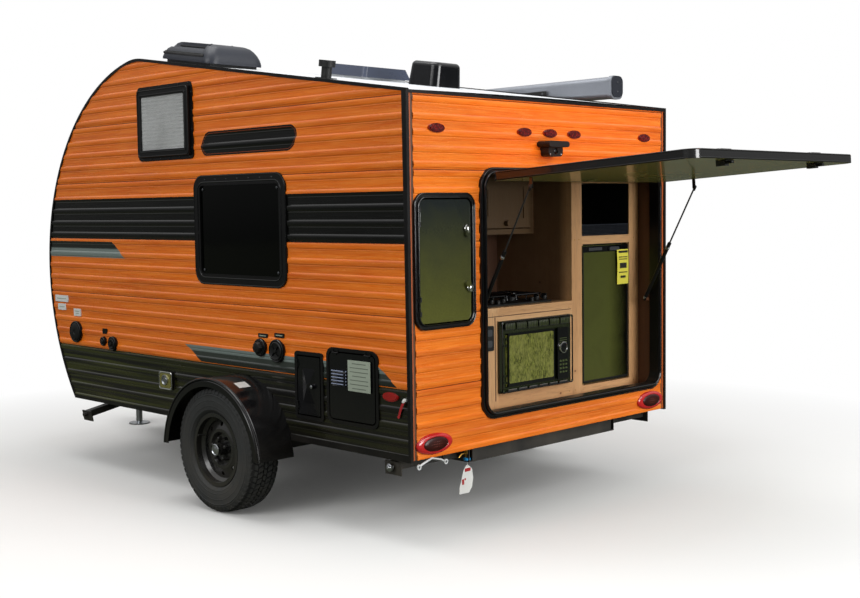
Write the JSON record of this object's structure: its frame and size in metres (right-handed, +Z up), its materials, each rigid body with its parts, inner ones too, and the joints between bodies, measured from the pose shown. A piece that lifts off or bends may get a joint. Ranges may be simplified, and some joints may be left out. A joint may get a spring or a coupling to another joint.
{
  "type": "teardrop camping trailer",
  "caption": "Teardrop camping trailer, orange ribbed siding with black trim, open rear galley under a lifting door on gas struts",
  "frame": {"origin": "on the ground under the middle of the trailer's outer box, with the galley door open", "axes": "+X to the trailer's right side, +Y forwards to the coupler, +Z up"},
  "size_m": [2.49, 5.5062, 2.5574],
  "materials": {
    "orange_siding": "glossy corrugated sheet, orange",
    "white_roof": "satin white sheet",
    "black_trim": "satin black",
    "black_gloss": "gloss black",
    "black_plastic": "satin black plastic",
    "dark_glass": "tinted",
    "tyre_rubber": "matt",
    "wheel_steel": "satin black",
    "frame_steel": "satin black",
    "bright_steel": "plated",
    "pine": "varnished pine",
    "dark_pine": "stained pine",
    "floor_board": "painted board",
    "awning_grey": "satin anodised",
    "fan_grey": "smoky grey plastic",
    "red_lens": "clear red plastic",
    "white_enamel": "gloss white",
    "cushion": "woven cover"
  },
  "bodies": {
    "trailer": {"floor": "floor_board", "left_wall": "orange_siding", "right_wall": "orange_siding", "rear_wall": "orange_siding", "roof_shell": "white_roof", "edge_trim": "black_trim", "window_frames": "black_trim", "window_panes": "dark_glass", "side_grille": "black_trim", "fenders": "black_gloss", "chassis": "frame_steel", "axle": "frame_steel", "coupler": "frame_steel", "jack_tube": "bright_steel", "gas_cylinder": "white_enamel", "galley_frame": "black_trim", "door_frames": "black_trim", "bulkhead": "pine", "galley_cabinet": "pine", "counter": "pine", "cooktop": "black_gloss", "microwave": "black_plastic", "fridge": "black_plastic", "roof_fan": "fan_grey", "vent_frame": "black_plastic", "antenna": "black_gloss", "pipe_cap": "black_plastic", "awning": "awning_grey", "tail_lamps": "red_lens", "marker_lamps": "red_lens", "rear_camera": "black_plastic", "side_ports": "black_plastic", "bed_platform": "pine", "mattress": "cushion"},
    "left_wheel": {"left_tyre": "tyre_rubber", "left_wheel": "wheel_steel"},
    "right_wheel": {"right_tyre": "tyre_rubber", "right_wheel": "wheel_steel"},
    "jack_leg": {"jack_leg": "bright_steel"},
    "galley_door": {"galley_door": "orange_siding"},
    "left_strut_tube": {"left_strut_tube": "black_trim"},
    "left_strut_rod": {"left_strut_rod": "bright_steel"},
    "right_strut_tube": {"right_strut_tube": "black_trim"},
    "right_strut_rod": {"right_strut_rod": "bright_steel"},
    "storage_door": {"storage_door": "black_gloss"},
    "entry_door": {"entry_door": "orange_siding", "entry_pane": "dark_glass"},
    "crease_hatch": {"crease_hatch": "black_plastic"},
    "louvre_hatch": {"louvre_hatch": "black_plastic"},
    "left_flap": {"left_flap": "pine"},
    "right_flap": {"right_flap": "pine"},
    "microwave_door": {"microwave_door": "dark_glass"},
    "fridge_door": {"fridge_door": "black_gloss"},
    "vent_lid": {"vent_lid": "fan_grey"},
    "rear_left_leg": {"rear_left_leg": "frame_steel"},
    "rear_right_leg": {"rear_right_leg": "frame_steel"},
    "front_left_leg": {"front_left_leg": "frame_steel"},
    "front_right_leg": {"front_right_leg": "frame_steel"}
  },
  "joints": [
    {"name": "left_wheel_spin", "type": "hinge", "parent": "trailer", "child": "left_wheel", "pos_m": [-1.131, -0.28761, 0.3315], "axis": [1, 0, 0], "continuous": true},
    {"name": "right_wheel_spin", "type": "hinge", "parent": "trailer", "child": "right_wheel", "pos_m": [1.131, -0.28761, 0.3315], "axis": [1, 0, 0], "continuous": true},
    {"name": "jack_slide", "type": "slide", "parent": "trailer", "child": "jack_leg", "axis": [0, 0, 1], "range_m": [0, 0.2]},
    {"name": "galley_door_hinge", "type": "hinge", "parent": "trailer", "child": "galley_door", "pos_m": [0, -1.58361, 1.75], "axis": [1, 0, 0], "range_deg": [0, 93.5]},
    {"name": "left_strut_swing", "type": "hinge", "parent": "trailer", "child": "left_strut_tube", "pos_m": [-0.47495, -1.50361, 1.047], "axis": [1, 0, 0], "range_deg": [-26, 0]},
    {"name": "left_strut_stroke", "type": "slide", "parent": "left_strut_tube", "child": "left_strut_rod", "axis": [0, -0.4664, 0.8846], "range_m": [-0.31167, 0]},
    {"name": "right_strut_swing", "type": "hinge", "parent": "trailer", "child": "right_strut_tube", "pos_m": [0.909, -1.50361, 1.047], "axis": [1, 0, 0], "range_deg": [-26, 0]},
    {"name": "right_strut_stroke", "type": "slide", "parent": "right_strut_tube", "child": "right_strut_rod", "axis": [0, -0.4664, 0.8846], "range_m": [-0.31167, 0]},
    {"name": "storage_door_hinge", "type": "hinge", "parent": "trailer", "child": "storage_door", "pos_m": [-0.952, -1.57911, 1.334], "axis": [0, 0, -1], "range_deg": [0, 105]},
    {"name": "entry_door_hinge", "type": "hinge", "parent": "trailer", "child": "entry_door", "pos_m": [1.0305, 0.99939, 1.278], "axis": [0, 0, 1], "range_deg": [0, 100]},
    {"name": "crease_hatch_hinge", "type": "hinge", "parent": "trailer", "child": "crease_hatch", "pos_m": [-1.0277, -0.75461, 0.6995], "axis": [0, 0, -1], "range_deg": [0, 90]},
    {"name": "louvre_hatch_hinge", "type": "hinge", "parent": "trailer", "child": "louvre_hatch", "pos_m": [-1.0277, -1.16761, 0.884], "axis": [0, 1, 0], "range_deg": [0, 100]},
    {"name": "left_flap_hinge", "type": "hinge", "parent": "trailer", "child": "left_flap", "pos_m": [-0.30197, -1.14931, 1.742], "axis": [1, 0, 0], "range_deg": [-90, 0]},
    {"name": "right_flap_hinge", "type": "hinge", "parent": "trailer", "child": "right_flap", "pos_m": [0.12701, -1.14931, 1.742], "axis": [1, 0, 0], "range_deg": [-90, 0]},
    {"name": "microwave_door_hinge", "type": "hinge", "parent": "trailer", "child": "microwave_door", "pos_m": [-0.19199, -1.42531, 0.658], "axis": [0, 0, 1], "range_deg": [-95, 0]},
    {"name": "fridge_door_hinge", "type": "hinge", "parent": "trailer", "child": "fridge_door", "pos_m": [0.47101, -1.39761, 0.589], "axis": [0, 0, 1], "range_deg": [-100, 0]},
    {"name": "vent_lid_hinge", "type": "hinge", "parent": "trailer", "child": "vent_lid", "pos_m": [0, 0.01969, 2.39083], "axis": [-1, 0, 0], "range_deg": [0, 70]},
    {"name": "rear_left_leg_swing", "type": "hinge", "parent": "trailer", "child": "rear_left_leg", "pos_m": [-0.64, -1.41361, 0.371], "axis": [0, -1, 0], "range_deg": [0, 70]},
    {"name": "rear_right_leg_swing", "type": "hinge", "parent": "trailer", "child": "rear_right_leg", "pos_m": [0.64, -1.41361, 0.371], "axis": [0, 1, 0], "range_deg": [0, 70]},
    {"name": "front_left_leg_swing", "type": "hinge", "parent": "trailer", "child": "front_left_leg", "pos_m": [-0.64, 1.43639, 0.371], "axis": [0, -1, 0], "range_deg": [-11, 59]},
    {"name": "front_right_leg_swing", "type": "hinge", "parent": "trailer", "child": "front_right_leg", "pos_m": [0.64, 1.43639, 0.371], "axis": [0, 1, 0], "range_deg": [-11, 59]}
  ],
  "couplings": [
    {"joint": "left_strut_swing", "follows": "galley_door_hinge", "ratio": -0.27594},
    {"joint": "left_strut_stroke", "follows": "galley_door_hinge", "m_per_rad": -0.18976},
    {"joint": "right_strut_swing", "follows": "galley_door_hinge", "ratio": -0.27594},
    {"joint": "right_strut_stroke", "follows": "galley_door_hinge", "m_per_rad": -0.18976}
  ]
}
